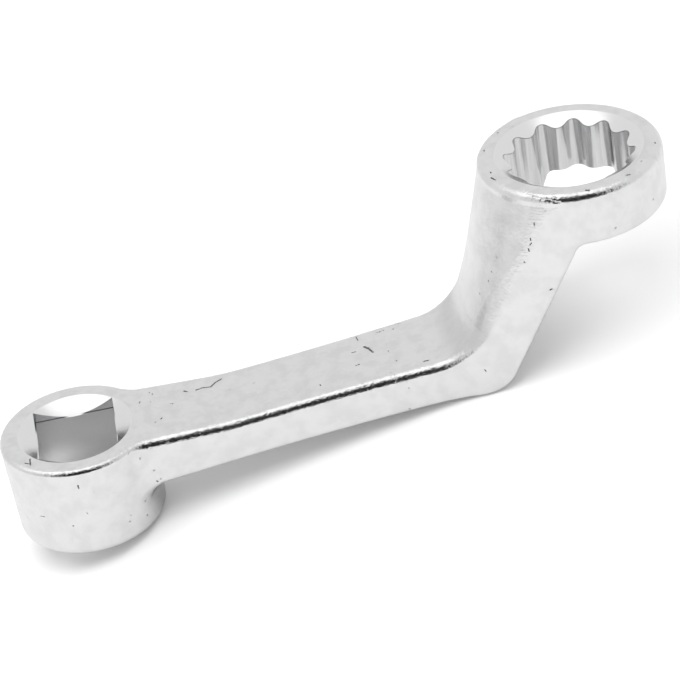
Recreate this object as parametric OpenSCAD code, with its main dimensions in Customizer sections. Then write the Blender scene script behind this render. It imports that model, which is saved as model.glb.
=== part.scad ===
// Camber adjustment wrench: a one-piece drop forging with a square drive boss at
// one end of a flat shank and an offset twelve-point ring at the other.
// The forging is divided into its four working regions, which meet face to face.
// The origin is on the drive axis at the underside of the boss. +Z is the drive
// axis and +X runs along the shank towards the ring. All lengths are millimetres.

/* [Drive boss] */
// Diameter of the boss at its top face
boss_d = 25; // [23:0.1:28]
// Height of the boss, top face to underside
boss_h = 17.4; // [15:0.1:20]
// Draft of the boss wall, which narrows it towards the underside, in degrees
boss_draft = 1.2; // [0:0.1:3]
// Radius of the rounded top rim
boss_edge_r = 0.9; // [0.4:0.1:1.4]
// Radius of the rounded lower rim
boss_foot_r = 1.1; // [0.4:0.1:1.6]

/* [Square drive] */
// Square opening across flats, for a half inch square
drive_af = 12.9; // [12.75:0.05:13.1]
// How far the countersink's rim stands outside the corners of the square
sink_rim = 0.3; // [0.1:0.05:0.8]
// Angle of the countersink below the top face, in degrees
sink_angle = 36; // [25:1:50]
// Step between the sized part of the square and the wider lead-in above it
lead_step = 0.15; // [0.1:0.05:0.35]
// Depth of the square lead-in below the top face
lead_depth = 2; // [1:0.1:3]
// Chamfer on the square's edge at the underside
drive_chamfer = 0.4; // [0.2:0.1:0.8]

/* [Shank] */
// Width of the shank at its waist
shank_w = 15.7; // [14:0.1:18]
// Height of the shank, top face to underside
shank_t = 7.1; // [6:0.1:8.5]
// Distance from the drive axis to the waist
waist_x = 36; // [30:1:42]
// Radius of the shallow curve of each side
side_r = 450; // [300:10:900]
// Distance from the drive axis to the knee, where the top face starts to climb
knee_x = 25; // [21:1:30]
// Half of the length over which the knee turns
knee_half = 3; // [1:0.5:5]
// Climb of the shank beyond the knee, in degrees
climb = 5.8; // [4:0.1:8]
// Radius of the rounded long edges of the top face
shank_edge_r = 1.5; // [0.8:0.1:2]
// Radius of the rounded long edges of the underside
shank_foot_r = 1; // [0.5:0.1:1.5]
// Radius of the fillets between the boss and the sides of the shank
neck_r = 3.5; // [2:0.5:6]
// Radius of the fillet between the boss and the underside of the shank
root_r = 3.2; // [2:0.1:5]

/* [Crank arm] */
// Angle of the back of the arm, above the drive plane, in degrees
back_angle = 63.3; // [60:0.1:68]
// Distance from the ring's axis back to the arm's back at the ring's underside
back_set = 2.5; // [1:0.1:5]
// Radius of the outer bend at the heel
heel_r = 9.9; // [7:0.1:13]
// Radius of the inner bend
crook_r = 10; // [7:0.5:13]
// Lean of the inner face from upright, in degrees
lean = 13.7; // [10:0.1:16]
// Depth below the ring's top where the inner face leaves the ring wall
lean_drop = 1.8; // [1:0.1:3]
// Angle at which each side widens towards the ring, in degrees
flare = 16; // [12:0.5:20]
// Softness of the change from the shank's side to the widening side
flare_soft = 1; // [0.2:0.1:2]
// Size of the soft corner between the inner face and each side
arm_corner = 3.4; // [2:0.1:4.5]
// Radius of the edges of the arm's back
back_edge_r = 1.1; // [0.6:0.1:1.6]
// Radius of the fillet under the ring, where the arm's back meets it
web_r = 2; // [1:0.1:3]

/* [Ring head] */
// Distance from the drive axis to the ring's axis
ring_x = 85.4; // [80:0.1:92]
// Wall of the ring outside the grooves of its opening
ring_wall = 4.35; // [3.5:0.05:5.5]
// Height of the ring's top face above the boss's underside
ring_top = 51; // [47:0.1:55]
// Height of the ring
ring_h = 9.6; // [8.5:0.1:11]
// Radius of the rounded top rim
ring_edge_r = 1; // [0.5:0.1:1.5]
// Radius of the rounded lower rim
ring_foot_r = 0.6; // [0.3:0.1:1]

/* [Twelve-point opening] */
// Size across the flats of each of the two hexagons
hex_af = 18; // [17:0.1:19]
// Radius at the bottom of each groove
groove_r = 1.8; // [1:0.1:2.2]
// Radius on each point between two grooves
point_r = 1.6; // [1:0.1:2.2]
// How far the rim of the entry chamfer stands outside the grooves
entry_rim = 1.2; // [0.6:0.05:2]
// Angle of the entry chamfer below the top face, in degrees
entry_angle = 32; // [20:1:45]

/* [Hidden] */
// Overrun of the cuts past the faces that they open
overrun = 1;
// Amount by which the arm's sides stand proud of the ring wall that they run into
proud = 0.05;
// Depth to which the foot of the neck's fillet is buried in the boss wall
bury = 0.06;
// How far the neck reaches into the boss, as a share of its length outside
reach_share = 0.32;
// Faces of a full turn on the round surfaces
round_fn = 96;

boss_r = boss_d / 2;
boss_low_r = boss_r - boss_h * tan(boss_draft);
sink_r = drive_af / sqrt(2) + sink_rim;
lead_af = drive_af + 2 * lead_step;
ring_low = ring_top - ring_h;
hex_corner_r = hex_af / sqrt(3);
hex_point_r = hex_af / 2 / cos(15);
ring_r = hex_corner_r + ring_wall;
entry_r = hex_corner_r + entry_rim;

// Room that the bend takes before the crook and below the ring, as shares of heel_r
bend_share = 0.67;
rise_share = 0.85;
// Where the four regions meet, and where the sections change direction
boss_split = boss_r + neck_r;
bend_start = ring_x - ring_r - crook_r - bend_share * heel_r - lean_drop;
bend_top = ring_low - rise_share * heel_r;
// Softness of the corner between the leaning face and the flared sides, at the ring
corner_soft = 0.9;

// Counts of stations along the forging and of steps round each section
neck_steps = 12;
shank_steps = 14;
bend_steps = 22;
arm_steps = 6;
web_steps = 5;
wall_steps = 5;
face_steps = 8;
corner_steps = 6;
edge_steps = 4;
arc_steps = 4;
tooth_steps = 3;

// Passes of the two searches for the point where a section meets the forging's side
edge_passes = 8;
cut_passes = 30;

// Height of the top face of the shank at a distance x from the drive axis
function climb_z(x) = let (u = x - knee_x)
    u < -knee_half ? 0 :
    u > knee_half ? u * tan(climb) :
    pow(u + knee_half, 2) / (4 * knee_half) * tan(climb);
function top_z(x) = boss_h + climb_z(x);

// Half width of the forging in plan: the shallow side curve of the shank and the
// straight flare that runs into the ring
function bow_w(x) = shank_w / 2 + pow(x - waist_x, 2) / (2 * side_r);
function flare_w(x) = let (side_r = ring_r + proud, u = ring_x - x)
    u > side_r * sin(flare) ? (side_r - u * sin(flare)) / cos(flare) : sqrt(side_r * side_r - u * u);
function soft_max(a, b, soft) = max(a, b) + pow(max(soft - abs(a - b), 0), 2) / (4 * soft);
function half_w(x) = soft_max(bow_w(x), flare_w(x), flare_soft);

// A path of a straight, an arc and a straight, as the point at a distance along it
function path_length(run, r, turn, rise) = run + r * turn * PI / 180 + rise;
function path_at(start, angle, run, r, turn, d) = let (
    arc = r * turn * PI / 180,
    bend = start + run * [cos(angle), sin(angle)],
    centre = bend + r * [-sin(angle), cos(angle)],
    swept = d > run ? min(turn, (d - run) / r * 180 / PI) : 0,
    corner = centre + r * [sin(angle + swept), -cos(angle + swept)])
    d <= run ? start + d * [cos(angle), sin(angle)] :
    d <= run + arc ? corner :
    corner + (d - run - arc) * [cos(angle + turn), sin(angle + turn)];

// The crossing of two lines, each given by a point and an angle
function line_cross(p, a, q, b) = let (
    t = ((q.x - p.x) * sin(b) - (q.y - p.y) * cos(b)) / sin(b - a))
    p + t * [cos(a), sin(a)];

// Inner face: along the top of the shank, round the crook and up the leaning face
inner_angle = 90 - lean;
inner_start = [bend_start, top_z(bend_start)];
inner_end = [ring_x - ring_r, ring_top - lean_drop];
inner_corner = line_cross(inner_start, climb, inner_end, inner_angle);
inner_turn = inner_angle - climb;
inner_run = norm(inner_corner - inner_start) - crook_r * tan(inner_turn / 2);
function inner_x(z) = inner_end.x + (z - inner_end.y) * tan(lean);
inner_rise = norm([inner_x(bend_top), bend_top] - inner_corner) - crook_r * tan(inner_turn / 2);
inner_length = path_length(inner_run, crook_r, inner_turn, inner_rise);

// Outer face: along the underside, round the heel and up the back of the arm
outer_start = [bend_start, top_z(bend_start) - shank_t];
outer_end = [ring_x - back_set, ring_low];
outer_corner = line_cross(outer_start, climb, outer_end, back_angle);
outer_turn = back_angle - climb;
outer_run = norm(outer_corner - outer_start) - heel_r * tan(outer_turn / 2);
function outer_x(z) = outer_end.x + (z - outer_end.y) / tan(back_angle);
outer_rise = norm([outer_x(bend_top), bend_top] - outer_corner) - heel_r * tan(outer_turn / 2);
outer_length = path_length(outer_run, heel_r, outer_turn, outer_rise);

// The concave fillet where the back of the arm spreads under the ring
web_gap = 90 - back_angle / 2;
web_tangent = web_r / tan(web_gap);
web_low = ring_low - web_tangent * sin(back_angle);
function web_x(z) = let (
    foot = outer_x(ring_low) + web_tangent,
    u = min(web_r, max(0, ring_low - z)))
    z <= web_low ? outer_x(z) : foot - sqrt(max(0, web_r * web_r - pow(web_r - u, 2)));

// How far the inner face has fallen back at y, as the ring wall does
function fall(y) = ring_r - sqrt(max(0, ring_r * ring_r - y * y));

// Half of a section. The section plane holds the points foot and head and the
// direction Y. Its head face falls back by the share round_share of the ring's own
// curve, and its corners are rounded by the sizes head_r and foot_r.
function edge_y(foot, along, reach, round_share, y, passes) =
    passes == 0 ? y :
    edge_y(foot, along, reach, round_share,
        half_w(foot.x + (reach - round_share * fall(y)) * along.x), passes - 1);
function rounded(a, corner, c, t) = let (
    u = (1 - t) * (1 - t),
    v = 2 * t * (1 - t) * cos(45),
    w = t * t)
    (u * a + v * corner + w * c) / (u + v + w);
function half_section(foot, head, round_share, head_r, foot_r) = let (
    reach = norm(head - foot),
    along = (head - foot) / reach,
    corner_y = edge_y(foot, along, reach, round_share, shank_w / 2, edge_passes),
    corner = [corner_y, reach - round_share * fall(corner_y)],
    face_y = corner_y - head_r,
    face = [face_y, reach - round_share * fall(face_y)],
    side_v = corner.y - head_r,
    side = [half_w(foot.x + side_v * along.x), side_v],
    low_w = half_w(foot.x),
    low_side = [half_w(foot.x + foot_r * along.x), foot_r])
    concat(
        [for (i = [0 : face_steps - 1]) let (y = face_y * i / face_steps)
            [y, reach - round_share * fall(y)]],
        [for (i = [0 : corner_steps]) rounded(face, corner, side, i / corner_steps)],
        [for (i = [0 : edge_steps]) rounded(low_side, [low_w, 0], [low_w - foot_r, 0], i / edge_steps)],
        [[0, 0]]);

// The closed loop of a section, as points in space
function place(foot, head, p) = let (q = foot + p.y * (head - foot) / norm(head - foot)) [q.x, p.x, q.y];
function section(foot, head, round_share, head_r, foot_r) = let (
    half = half_section(foot, head, round_share, head_r, foot_r),
    count = len(half))
    concat(
        [for (i = [0 : count - 1]) place(foot, head, half[i])],
        [for (i = [count - 2 : -1 : 1]) place(foot, head, [-half[i].x, half[i].y])]);

// The sections of each stretch
function smooth(t) = t * t * (3 - 2 * t);
function mix(a, b, t) = a + (b - a) * t;
function upright(x) = section([x, top_z(x) - shank_t], [x, top_z(x)], 0, shank_edge_r, shank_foot_r);
function bend_section(t) = let (
    foot = path_at(outer_start, climb, outer_run, heel_r, outer_turn, t * outer_length),
    head = path_at(inner_start, climb, inner_run, crook_r, inner_turn, t * inner_length),
    inner_d = t * inner_length - inner_run,
    turned = min(1, max(0, inner_d / (inner_length - inner_run - inner_rise))),
    share = smooth(turned))
    section(foot, head, share, mix(shank_edge_r, arm_corner, share), mix(shank_foot_r, back_edge_r, share));
function level(z) = section([web_x(z), z], [inner_x(z), z], 1, arm_corner, back_edge_r);
function steps(a, b, count) = [for (i = [0 : count]) mix(a, b, i / count)];
function middle(loop) = [for (axis = [0 : 2]) (min([for (p = loop) p[axis]]) + max([for (p = loop) p[axis]])) / 2];
function tail(list) = [for (i = [1 : len(list) - 1]) list[i]];

// The neck. Its sides run into the boss in fillets whose outline, moved inwards by
// inset, keeps touching the boss. Its underside runs into the boss wall in a fillet
// that follows the wall round. Its sections bend from the wall, at a share t of 0,
// to the straight end of the shank, at 1.
function fillet_x(w) = sqrt(pow(boss_r + neck_r, 2) - pow(w + neck_r, 2));
neck_w = bow_w(fillet_x(bow_w(boss_r)));
neck_x = fillet_x(neck_w);
root_wall_r = boss_r - (shank_t + root_r) * tan(boss_draft) - bury;
function neck_x_at(t, y) = mix(sqrt(root_wall_r * root_wall_r - y * y), boss_split, t);
function neck_w_at(x, inset) =
    x > neck_x ? bow_w(x) - inset :
    neck_w + neck_r - sqrt(pow(neck_r + inset, 2) - pow(neck_x - x, 2));
function neck_y(t, inset, low, high, passes) = let (y = (low + high) / 2)
    passes == 0 ? y :
    y < neck_w_at(neck_x_at(t, y), inset) ? neck_y(t, inset, y, high, passes - 1) :
    neck_y(t, inset, low, y, passes - 1);
function side_y(t, inset) =
    neck_y(t, inset, 0, (neck_w + neck_r) * (boss_r - inset) / (boss_r + neck_r), cut_passes);
function root_z(t, y) = let (
    x = neck_x_at(t, y),
    u = min(root_r, max(0, root_wall_r + root_r - norm([x, y]))))
    top_z(x) - shank_t - root_r + sqrt(root_r * root_r - u * u);
function neck_point(t, y, z) = [neck_x_at(t, y), y, z];
function neck_section(t) = let (
    edge = mix(boss_edge_r, shank_edge_r, smooth(max(0, t))),
    lean = (1 - smooth(max(0, t))) * tan(boss_draft),
    low = boss_h - root_z(t, side_y(t, shank_foot_r)),
    low_y = side_y(t, low * lean + shank_foot_r),
    half = concat(
        [for (y = steps(0, side_y(t, edge), face_steps)) neck_point(t, y, boss_h)],
        [for (a = tail(steps(90, 0, corner_steps))) let (depth = edge * (1 - sin(a)))
            neck_point(t, side_y(t, edge * (1 - cos(a)) + depth * lean), boss_h - depth)],
        [for (a = steps(0, 90, edge_steps)) let (depth = low - shank_foot_r * (1 - sin(a)))
            neck_point(t, side_y(t, shank_foot_r * (1 - cos(a)) + depth * lean), boss_h - depth)],
        [for (y = tail(steps(low_y, 0, face_steps))) neck_point(t, y, root_z(t, y))]),
    count = len(half))
    concat(half, [for (i = [count - 2 : -1 : 1]) [half[i].x, -half[i].y, half[i].z]]);

// A solid skinned over a row of loops that have the same number of points. Each end
// is closed by triangles that fan out from the middle of its loop.
module skin(loops) {
    rows = len(loops);
    count = len(loops[0]);
    points = concat([for (loop = loops) each loop], [middle(loops[0]), middle(loops[rows - 1])]);
    walls = [for (j = [0 : rows - 2]) for (i = [0 : count - 1]) let (
        k = (i + 1) % count,
        a = j * count + i,
        b = j * count + k,
        c = (j + 1) * count + k,
        d = (j + 1) * count + i)
        each [[a, b, c], [a, c, d]]];
    last = (rows - 1) * count;
    ends = [for (i = [0 : count - 1]) let (k = (i + 1) % count)
        each [[rows * count, k, i], [rows * count + 1, last + i, last + k]]];
    polyhedron(points = points, faces = concat(walls, ends), convexity = 6);
}

// Outline of a turned body between two heights, with rounded outer rims
module turned_body(low, high, low_r, high_r, foot_r, edge_r) {
    rotate_extrude($fn = round_fn) {
        polygon(concat(
            [[0, low]],
            [for (i = [0 : arc_steps * 2]) let (a = -90 + 90 * i / (arc_steps * 2))
                [low_r - foot_r + foot_r * cos(a), low + foot_r + foot_r * sin(a)]],
            [for (i = [0 : arc_steps * 2]) let (a = 90 * i / (arc_steps * 2))
                [high_r - edge_r + edge_r * cos(a), high - edge_r + edge_r * sin(a)]],
            [[0, high]]));
    }
}

// The boss as a square drive socket, with the neck that runs into the shank
module drive_boss() {
    root_share = root_r / (boss_split - root_wall_r);
    buried = [for (t = steps(-reach_share, 0, edge_steps)) neck_section(t)];
    fillet = [for (a = tail(steps(0, 90, neck_steps))) neck_section(root_share * (1 - cos(a)))];
    straight = [for (t = tail(steps(root_share, 1, edge_steps))) neck_section(t)];
    color([0.80, 0.81, 0.82])
    difference() {
        union() {
            turned_body(0, boss_h, boss_low_r, boss_r, boss_foot_r, boss_edge_r);
            skin(concat(buried, fillet, straight));
        }
        square_hole();
    }
}

// The square opening: sized square, lead-in, countersink and underside chamfer
module square_hole() {
    sink_h = sink_r * tan(sink_angle);
    translate([-drive_af / 2, -drive_af / 2, -overrun])
        cube([drive_af, drive_af, boss_h + 2 * overrun]);
    translate([-lead_af / 2, -lead_af / 2, boss_h - lead_depth])
        cube([lead_af, lead_af, lead_depth + overrun]);
    translate([0, 0, boss_h - sink_h])
        cylinder(h = sink_h, r1 = 0, r2 = sink_r, $fn = round_fn);
    translate([0, 0, boss_h])
        cylinder(h = overrun, r = sink_r, $fn = round_fn);
    for (turn = [0 : 90 : 270]) {
        rotate([0, 0, turn])
            translate([0, drive_af / 2, 0])
                rotate([45, 0, 0])
                    cube([drive_af, drive_chamfer * sqrt(2), drive_chamfer * sqrt(2)], center = true);
    }
}

// The flat bar between the neck and the crank
module shank() {
    color([0.82, 0.83, 0.84])
        skin([for (x = steps(boss_split, bend_start, shank_steps)) upright(x)]);
}

// The crank: the bend at the heel and the arm that climbs to the ring's underside
module crank_arm() {
    bend = [for (t = steps(0, 1, bend_steps)) bend_section(t)];
    climb_up = [for (z = tail(steps(bend_top, web_low, arm_steps))) level(z)];
    spread = [for (z = tail(steps(web_low, ring_low, web_steps))) level(z)];
    color([0.80, 0.81, 0.82])
    difference() {
        skin(concat(bend, climb_up, spread));
        translate([ring_x, 0, 0])
            linear_extrude(height = ring_top)
                twelve_point();
    }
}

// One groove and one point of the opening, as two arcs joined by a straight flank
function groove(middle) = let (
    centre = (hex_corner_r - groove_r / sin(60)) * [cos(middle), sin(middle)])
    [for (i = [0 : tooth_steps]) let (a = middle - 30 + 60 * i / tooth_steps)
        centre + groove_r * [cos(a), sin(a)]];
function point_arc(middle) = let (
    centre = (hex_point_r + point_r / sin(75)) * [cos(middle), sin(middle)])
    [for (i = [0 : tooth_steps]) let (a = middle + 180 + 15 - 30 * i / tooth_steps)
        centre + point_r * [cos(a), sin(a)]];
module twelve_point() {
    polygon([for (k = [0 : 11]) each concat(groove(30 * k + 15), point_arc(30 * k + 30))]);
}

// Reach of the ring's outside from its axis, in the direction turn, at height z. The
// wall has the radius wall_r there. On the arm's side it swells into the arm, which
// is bounded by the leaning inner face and by the flat flared sides.
function swell_reach(turn, z) = let (
    shift = max(0, (inner_end.y - z) * tan(lean)),
    face = -shift * cos(turn) + sqrt(ring_r * ring_r - pow(shift * sin(turn), 2)),
    facing = sin(abs(turn) - flare),
    side = facing > 0 ? (ring_r + proud * min(1, shift)) / facing : 2 * ring_r,
    soft = min(corner_soft, shift))
    soft > 0 ? -soft_max(-face, -side, soft) : min(face, side);
function ring_reach(turn, z, wall_r) =
    abs(turn) < 90 + flare || z > inner_end.y ? wall_r : max(wall_r, swell_reach(turn, z));
function ring_loop(z, wall_r) = [for (i = [0 : round_fn - 1]) let (
    turn = 360 * (i + 0.5) / round_fn - 180,
    reach = ring_reach(turn, z, wall_r))
    [ring_x + reach * cos(turn), reach * sin(turn), z]];

// The ring with its twelve-point opening, and the top of the arm that its wall swells into
module ring_head() {
    entry_h = entry_r * tan(entry_angle);
    foot = [for (a = steps(0, 90, arc_steps))
        ring_loop(ring_low + ring_foot_r * (1 - cos(a)), ring_r - ring_foot_r * (1 - sin(a)))];
    wall = [for (z = tail(steps(ring_low + ring_foot_r, inner_end.y, wall_steps))) ring_loop(z, ring_r)];
    rim = [for (a = steps(0, 90, arc_steps))
        ring_loop(ring_top - ring_edge_r * (1 - sin(a)), ring_r - ring_edge_r * (1 - cos(a)))];
    color([0.80, 0.81, 0.82])
    difference() {
        skin(concat(foot, wall, rim));
        translate([ring_x, 0, ring_low - overrun])
            linear_extrude(height = ring_h + 2 * overrun)
                twelve_point();
        translate([ring_x, 0, ring_top - entry_h])
            cylinder(h = entry_h, r1 = 0, r2 = entry_r, $fn = round_fn);
        translate([ring_x, 0, ring_top])
            cylinder(h = overrun, r = entry_r, $fn = round_fn);
    }
}

drive_boss();
shank();
crank_arm();
ring_head();
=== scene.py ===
# The camber adjustment wrench, dressed: the drop forging's skin with its soft edges
# and marks, the two machined openings, bright plating, and the white studio.
# Shapes are worked out in millimetres and moved into metres at the end.

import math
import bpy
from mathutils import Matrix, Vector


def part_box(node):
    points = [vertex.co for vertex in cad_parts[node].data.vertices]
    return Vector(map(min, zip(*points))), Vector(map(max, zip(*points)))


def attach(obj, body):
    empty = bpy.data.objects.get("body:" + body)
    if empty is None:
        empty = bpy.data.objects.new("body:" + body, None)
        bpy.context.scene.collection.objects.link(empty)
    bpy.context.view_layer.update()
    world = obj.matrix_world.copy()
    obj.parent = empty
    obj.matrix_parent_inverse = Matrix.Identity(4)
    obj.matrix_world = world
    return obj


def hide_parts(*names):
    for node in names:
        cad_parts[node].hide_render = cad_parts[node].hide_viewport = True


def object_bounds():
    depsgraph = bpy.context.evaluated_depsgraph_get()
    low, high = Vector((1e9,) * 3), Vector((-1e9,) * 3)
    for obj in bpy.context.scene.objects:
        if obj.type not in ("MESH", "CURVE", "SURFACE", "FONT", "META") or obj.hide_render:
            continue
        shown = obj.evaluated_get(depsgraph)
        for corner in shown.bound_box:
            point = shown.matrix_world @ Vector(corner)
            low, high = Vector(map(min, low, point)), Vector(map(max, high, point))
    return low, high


bl_info = {
    "name": "Camber adjustment wrench",
    "version": (1, 0, 0),
    "blender": (4, 5, 0),
    "location": "3D View > Sidebar > Wrench",
    "description": "Builds the plated camber adjustment wrench and its studio",
    "category": "Object",
}

import bmesh
import bpy
import numpy as np
from bpy.props import FloatProperty, FloatVectorProperty, PointerProperty
from mathutils import Matrix, Vector

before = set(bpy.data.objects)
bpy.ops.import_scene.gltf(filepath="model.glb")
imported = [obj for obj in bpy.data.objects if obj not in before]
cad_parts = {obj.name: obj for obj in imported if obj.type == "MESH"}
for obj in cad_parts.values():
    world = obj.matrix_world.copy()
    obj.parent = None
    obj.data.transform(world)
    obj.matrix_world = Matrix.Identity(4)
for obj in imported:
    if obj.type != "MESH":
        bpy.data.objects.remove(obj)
cad_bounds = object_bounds()

MM = 0.001


def cad_mm(node):
    """The lowest and highest corner of a CAD node, in millimetres."""
    low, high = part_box(node)
    return np.array(low) / MM, np.array(high) / MM


boss_low, boss_high = cad_mm("drive_boss")
ring_low, ring_high = cad_mm("ring_head")


def length(name, description, default):
    """A length property in millimetres."""
    return FloatProperty(name=name, description=description, default=default, min=0.0, precision=2)


def degrees(name, description, default):
    """An angle property in degrees."""
    return FloatProperty(name=name, description=description, default=default)


def amount(name, description, default, **kind):
    """Any other number, with its unit or subtype where it has one."""
    return FloatProperty(name=name, description=description, default=default, **kind)


def tint(name, description, default):
    """A colour property."""
    return FloatVectorProperty(name=name, description=description, default=default, subtype="COLOR")


class ForgingSizes(bpy.types.PropertyGroup):
    """Sizes of the drop forging, in millimetres and degrees."""

    boss_r: length("Boss radius", "Radius of the boss at its top face", float(-boss_low[0]))
    boss_h: length("Boss height", "Height of the boss", float(boss_high[2] - boss_low[2]))
    boss_draft: degrees("Boss draft", "Draft of the boss wall", 1.2)
    boss_foot: length("Boss foot", "Radius of the boss's lower rim", 2.0)
    boss_edge: length("Boss rim", "Radius of the boss's top rim", 1.0)
    ring_edge: length("Ring rim", "Radius of the ring's top rim", 1.45)
    shank_edge: length("Shank edge", "Radius of the long edges of the shank's top face", 1.5)
    back_edge: length("Back edge", "Radius of the lower edges of shank and arm", 1.1)
    ring_foot: length("Ring foot", "Radius of the ring's lower rim", 1.0)
    shank_w: length("Shank width", "Width of the shank at its waist", 15.7)
    shank_t: length("Shank height", "Height of the shank beyond its knee", 7.45)
    waist_x: length("Waist", "Distance from the drive axis to the waist", 36.0)
    side_r: length("Side curve", "Radius of the shallow curve of each side", 450.0)
    knee_x: length("Knee", "Where the top face starts to climb", 25.0)
    knee_half: length("Knee length", "Half of the length over which the knee turns", 3.0)
    climb: degrees("Climb", "Climb of the shank beyond the knee", 5.8)
    neck_r: length("Neck fillet", "Fillet between boss and shank in plan", 5.0)
    root_r: length("Root fillet", "Radius of the fillet between the boss and the shank's underside", 3.2)
    back_angle: degrees("Back angle", "Angle of the back of the arm", 63.3)
    back_set: length("Back set", "From the ring's axis to the arm's back at the ring", 2.05)
    heel_r: length("Heel", "Radius of the outer bend", 7.5)
    crook_r: length("Crook", "Radius of the inner bend", 8.0)
    crook_corner: length("Crook corner", "Softness of the crook's corners", 2.2)
    lean: degrees("Lean", "Lean of the inner face from upright", 13.7)
    lean_drop: length("Lean drop", "From the ring's top to the start of the lean", 1.8)
    flare: degrees("Flare", "Angle at which each side widens towards the ring", 16.0)
    flare_soft: length("Flare softness", "Softness of the start of the flare", 1.0)
    arm_corner: length("Arm corner", "Softness of the arm's front corners", 0.5)
    hollow: length("Hollow", "Height over which the inner face takes the ring's curve", 28.0)
    web: length("Web", "Fillet between the arm's back and the ring", 1.0)
    ring_wall: length("Ring wall", "Wall of the ring outside the grooves", 4.3)
    ring_x: length("Ring axis", "Distance from the drive axis to the ring's axis", 85.4)
    ring_h: length("Ring height", "Height of the ring", 9.3)
    ring_top: length("Ring top", "Height of the ring's top face", float(ring_high[2]))
    mesh_step: length("Mesh step", "Size of the faces of the skin", 0.26)


class OpeningSizes(bpy.types.PropertyGroup):
    """Sizes of the two machined openings, in millimetres and degrees."""

    drive_af: length("Square", "Square opening across flats", 12.9)
    lead_step: length("Lead-in step", "Step between the square and its lead-in", 0.15)
    lead_depth: length("Lead-in depth", "Depth of the lead-in", 2.0)
    sink_rim: length("Countersink rim", "From the square's corners to the countersink's rim", 0.3)
    sink_angle: degrees("Countersink angle", "Slope of the countersink", 36.0)
    drive_chamfer: length("Square chamfer", "Chamfer of the square at the underside", 0.4)
    hex_af: length("Hexagon", "Size across flats of the two hexagons", 18.0)
    groove_r: length("Groove", "Radius at the bottom of a groove", 1.4)
    groove_out: length("Groove reach", "From the hexagon's corners to where a groove's flanks meet", 0.8)
    flank: degrees("Flank", "Angle between a groove's flank and its middle line", 42.0)
    point_r: length("Point", "Radius on each point", 2.0)
    entry_rim: length("Entry rim", "From the grooves to the rim of the entry chamfer", 1.4)
    entry_angle: degrees("Entry angle", "Slope of the entry chamfer", 31.0)


class FinishSettings(bpy.types.PropertyGroup):
    """Colours and roughness of the plating."""

    plate: tint("Plating", "Colour of the plating", (0.80, 0.80, 0.805))
    pit: tint("Pits", "Colour inside pits and scratches", (0.10, 0.10, 0.10))
    roughness: amount("Roughness", "Roughness of the plating", 0.17, subtype="FACTOR")


class StageSettings(bpy.types.PropertyGroup):
    """The studio around the tool."""

    room: amount("Room", "Strength of the room's light on the floor", 0.80)
    softbox: amount("Softbox", "Power of the softbox in watts", 3.7, unit="POWER")
    softbox_size: amount("Softbox size", "Width of the softbox in metres", 0.7, unit="LENGTH")
    wall: amount("Walls", "Brightness of the walls that the plating mirrors", 0.83)
    ceiling: amount("Ceiling", "Brightness of the softbox that it mirrors", 1.4)
    dark_width: degrees("Dark width", "Half width of the dark side of the room", 44.0)
    dark_height: degrees("Dark height", "Half height of the dark side of the room", 42.0)
    dark_middle: degrees("Dark middle", "Height of the middle of the dark side", 26.0)
    shade: amount("Shade", "How much the walls beside the dark side lose", 0.1, subtype="FACTOR")


def sizes():
    return bpy.context.scene.forging_sizes


def openings():
    return bpy.context.scene.opening_sizes


# Signed distances: below nought inside the metal


def tan(angle):
    return math.tan(math.radians(angle))


def cos(angle):
    return math.cos(math.radians(angle))


def sin(angle):
    return math.sin(math.radians(angle))


def smooth_step(value, low, high):
    t = np.clip((value - low) / (high - low), 0, 1)
    return t * t * (3 - 2 * t)


def both_in(a, b, r):
    """Inside both shapes, with their common edge rounded."""
    return np.minimum(np.maximum(a, b), -r) + np.hypot(np.maximum(a + r, 0), np.maximum(b + r, 0))


def either_in(a, b, r):
    """Inside either shape, with a fillet between them."""
    return np.maximum(np.minimum(a, b), r) - np.hypot(np.maximum(r - a, 0), np.maximum(r - b, 0))


def soft_min(a, b, soft):
    return np.minimum(a, b) - np.maximum(soft - np.abs(a - b), 0) ** 2 / (4 * soft)


class BentLine:
    """A straight, an arc to the left and a straight, in the XZ plane."""

    def __init__(self, start, angle, end, end_angle, r):
        self.u, self.v = np.array([cos(angle), sin(angle)]), np.array([cos(end_angle), sin(end_angle)])
        start, end = np.array(start), np.array(end)
        cross = self.u[0] * self.v[1] - self.u[1] * self.v[0]
        gap = end - start
        corner = start + self.u * (gap[0] * self.v[1] - gap[1] * self.v[0]) / cross
        back = r * tan((end_angle - angle) / 2)
        self.bend, self.rise, self.r = corner - back * self.u, corner + back * self.v, r
        self.centre = self.bend + r * np.array([-self.u[1], self.u[0]])

    def left(self, x, z):
        """Distance to the left of the line."""
        before = (x - self.bend[0]) * self.u[0] + (z - self.bend[1]) * self.u[1] < 0
        after = (x - self.rise[0]) * self.v[0] + (z - self.rise[1]) * self.v[1] > 0
        first = (z - self.bend[1]) * self.u[0] - (x - self.bend[0]) * self.u[1]
        second = (z - self.rise[1]) * self.v[0] - (x - self.rise[0]) * self.v[1]
        turn = self.r - np.hypot(x - self.centre[0], z - self.centre[1])
        return np.where(before, first, np.where(after, second, turn))


# Heights above the foot of the crook, in crook radii, between which its corners sharpen
SHARPEN_FROM, SHARPEN_TO = 0.75, 2.75
# The share of a corner's softness that is left where the arm runs into the ring
SOFTNESS_LEFT = 0.004
# Heights above the foot of the crook where its painted shade is full, starts to fade and is gone again
CROOK_SHADE_FULL, CROOK_SHADE_FADES, CROOK_SHADE_GONE = 2.0, 5.0, 17.0
# The curvature per millimetre at which a surface starts to count as a rim, and counts fully
RIM_CURVATURE = (0.25, 0.6)
# The two waves, per millimetre, that make the outline of a mark ragged
RAGGED_WAVES = ((9.0, 5.0, 7.0), (-6.0, 11.0, 4.0))
# Following a camera ray to the surface: its start, its steps and the share of the distance in each
RAY_START, RAY_STEPS, RAY_SHARE = 400.0, 60, 0.7
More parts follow.
